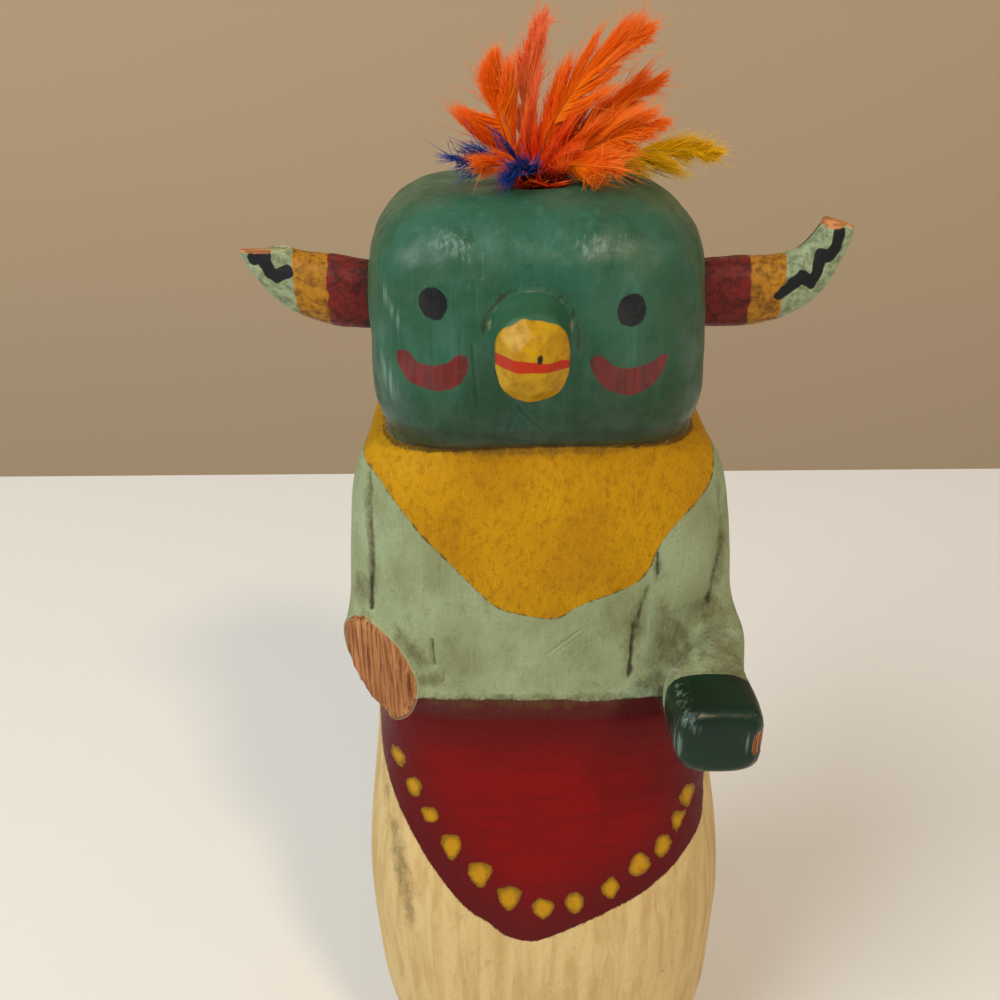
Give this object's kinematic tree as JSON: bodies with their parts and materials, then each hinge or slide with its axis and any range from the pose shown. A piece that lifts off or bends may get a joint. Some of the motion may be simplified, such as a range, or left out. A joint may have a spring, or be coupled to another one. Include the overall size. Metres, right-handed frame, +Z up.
{
  "type": "kachina doll",
  "caption": "Standing carved and painted wooden doll with a round-edged mask head, short snout, two side horns, a feather tuft on top and one broken forearm.",
  "frame": {"origin": "middle of the flat underside, on the surface that the doll stands on", "axes": "+Z up, -Y the doll's front, +X the doll's left"},
  "size_m": [0.1051, 0.0867, 0.2442],
  "materials": {
    "painted_wood": "hand-painted cottonwood, satin and worn: green mask, ochre collar, pale green body, red apron, cream kilt",
    "snout_paint": "hand-painted wood, satin yellow with a red mouth line",
    "horn_paint": "hand-painted wood in bands of maroon, ochre and pale green with a black zigzag",
    "orange_feather": "dyed feather, fluffy",
    "blue_feather": "dyed feather, fluffy",
    "yellow_feather": "dyed feather, fluffy"
  },
  "bodies": {
    "root": {"figure": "painted_wood", "snout": "snout_paint", "horn_left": "horn_paint", "horn_right": "horn_paint", "plume_orange_tall": "orange_feather", "plume_orange_main": "orange_feather", "plume_orange_left": "orange_feather", "plume_orange_upper": "orange_feather", "plume_orange_middle": "orange_feather", "plume_orange_low": "orange_feather", "plume_orange_tuft": "orange_feather", "plume_blue_upper": "blue_feather", "plume_blue_lower": "blue_feather", "plume_yellow": "yellow_feather"}
  },
  "joints": []
}
